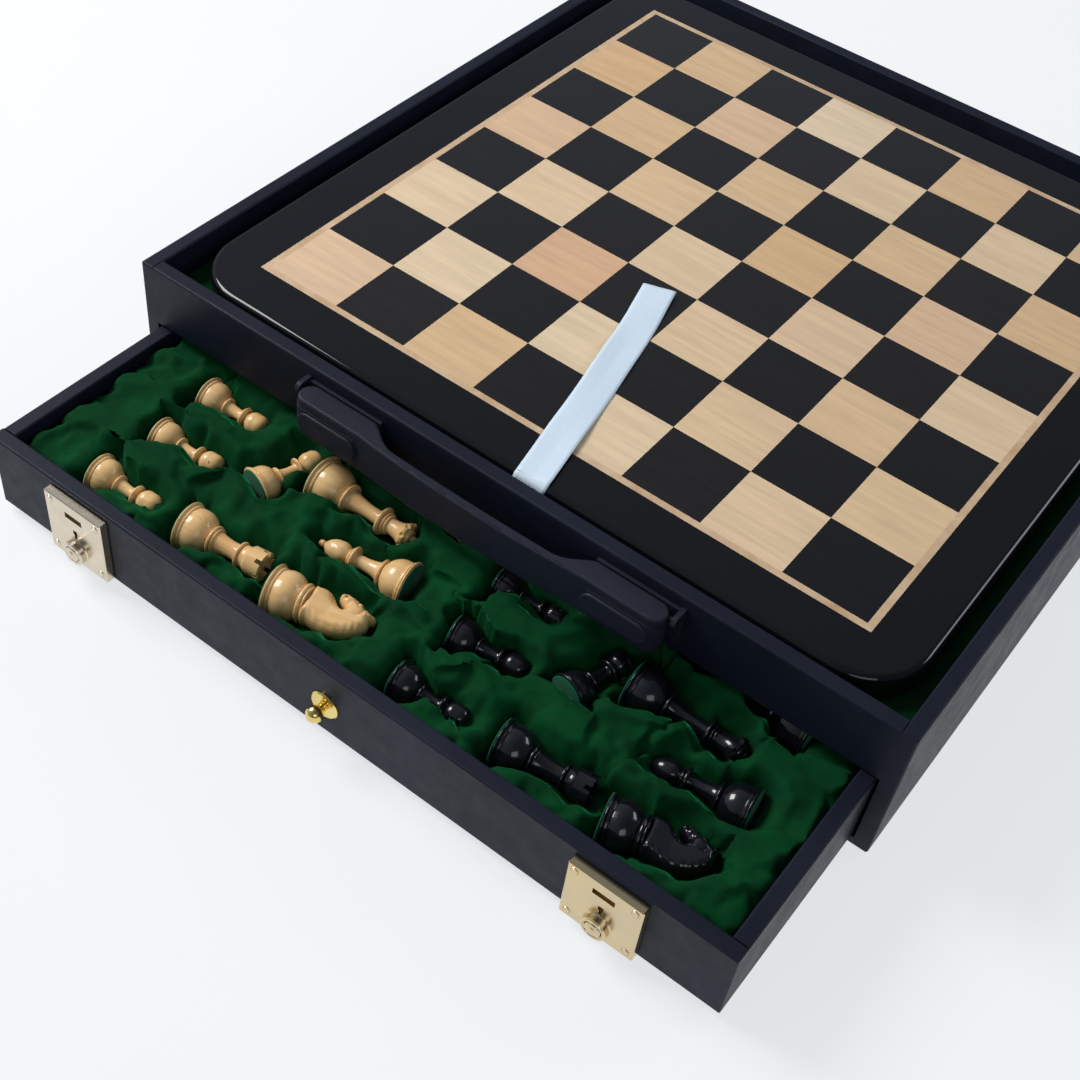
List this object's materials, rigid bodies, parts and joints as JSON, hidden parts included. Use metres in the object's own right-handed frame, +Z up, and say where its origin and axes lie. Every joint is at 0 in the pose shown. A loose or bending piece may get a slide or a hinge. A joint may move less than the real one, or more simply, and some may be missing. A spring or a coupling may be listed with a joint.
{
  "type": "chess box with drawers",
  "caption": "Leatherette chess box: a lift-out board in a tray, over shallow velvet-bedded drawers that hold the pieces, with a carrying handle and push-button latches.",
  "frame": {"origin": "centre of the case's underside", "axes": "+Z up, -Y towards the front drawer and the handle, +X to the right as seen from the front"},
  "size_m": [0.58, 0.7523, 0.112],
  "materials": {
    "leatherette": "grained, satin",
    "black_lacquer": "high gloss",
    "maple": "polished",
    "ebony_wood": "polished",
    "boxwood": "polished",
    "ebonised_wood": "high gloss",
    "green_velvet": "pile",
    "green_felt": "matt",
    "plain_wood": "raw",
    "brass": "polished",
    "pale_brass": "satin",
    "steel": "satin",
    "black_plastic": "moulded, satin",
    "satin_ribbon": "satin"
  },
  "bodies": {
    "case": {"case_left_wall": "leatherette", "case_right_wall": "leatherette", "case_front_rail": "leatherette", "case_back_rail": "leatherette", "case_bottom": "leatherette", "inner_partitions": "plain_wood", "deck_ledges": "plain_wood", "tray_deck": "plain_wood", "tray_velvet": "green_velvet", "handle_brackets": "black_plastic", "bracket_screws": "steel"},
    "handle": {"carry_handle": "black_plastic", "handle_pivot_pins": "steel"},
    "board": {"board_border": "black_lacquer", "board_panel": "plain_wood", "board_stringing": "maple", "board_light_squares": "maple", "board_dark_squares": "ebony_wood", "board_baize": "green_felt", "lift_ribbon": "satin_ribbon"},
    "front_drawer": {"front_drawer_front": "leatherette", "front_drawer_sides": "leatherette", "front_drawer_back": "leatherette", "front_drawer_floor": "leatherette", "front_drawer_stop_pegs": "plain_wood", "front_drawer_velvet_bed": "green_velvet", "front_drawer_knob": "brass", "front_drawer_knob_rose": "brass", "latch_plates": "pale_brass", "latch_rivets": "pale_brass", "latch_housings": "steel", "left_latch_spring": "steel", "right_latch_spring": "steel", "base_felts": "green_felt", "light_king": "boxwood", "light_queen": "boxwood", "light_bishops": "boxwood", "light_knights": "boxwood", "light_rooks": "boxwood", "light_pawns": "boxwood", "dark_king": "ebonised_wood", "dark_queen": "ebonised_wood", "dark_bishops": "ebonised_wood", "dark_knights": "ebonised_wood", "dark_rooks": "ebonised_wood", "dark_pawns": "ebonised_wood"},
    "back_drawer": {"back_drawer_front": "leatherette", "back_drawer_sides": "leatherette", "back_drawer_back": "leatherette", "back_drawer_floor": "leatherette", "back_drawer_stop_pegs": "plain_wood", "back_drawer_velvet_bed": "green_velvet", "back_drawer_knob": "brass", "back_drawer_knob_rose": "brass", "back_light_pieces": "boxwood", "back_dark_pieces": "ebonised_wood"},
    "left_button": {"left_latch_button": "brass"},
    "right_button": {"right_latch_button": "brass"},
    "left_catch": {"left_latch_catch": "steel"},
    "right_catch": {"right_latch_catch": "steel"}
  },
  "joints": [
    {"name": "front_drawer_slide", "type": "slide", "parent": "case", "child": "front_drawer", "axis": [0, -1, 0], "range_m": [-0.1433, 0.0225]},
    {"name": "back_drawer_slide", "type": "slide", "parent": "case", "child": "back_drawer", "axis": [0, 1, 0], "range_m": [0, 0.1655]},
    {"name": "board_lift", "type": "slide", "parent": "case", "child": "board", "axis": [0, 0, 1], "range_m": [0, 0.06]},
    {"name": "handle_swing", "type": "hinge", "parent": "case", "child": "handle", "pos_m": [0, -0.2985, 0.1], "axis": [-1, 0, 0], "range_deg": [0, 90]},
    {"name": "left_button_press", "type": "slide", "parent": "front_drawer", "child": "left_button", "axis": [0, 1, 0], "range_m": [0, 0.0025], "stiffness_N_per_m": 400},
    {"name": "left_catch_drop", "type": "slide", "parent": "front_drawer", "child": "left_catch", "axis": [0, 0, -1], "range_m": [0, 0.002], "stiffness_N_per_m": 300, "deforming": ["left_latch_spring"]},
    {"name": "right_button_press", "type": "slide", "parent": "front_drawer", "child": "right_button", "axis": [0, 1, 0], "range_m": [0, 0.0025], "stiffness_N_per_m": 400},
    {"name": "right_catch_drop", "type": "slide", "parent": "front_drawer", "child": "right_catch", "axis": [0, 0, -1], "range_m": [0, 0.002], "stiffness_N_per_m": 300, "deforming": ["right_latch_spring"]}
  ],
  "couplings": [
    {"joint": "left_catch_drop", "follows": "left_button_press", "ratio": 0.8},
    {"joint": "right_catch_drop", "follows": "right_button_press", "ratio": 0.8}
  ]
}
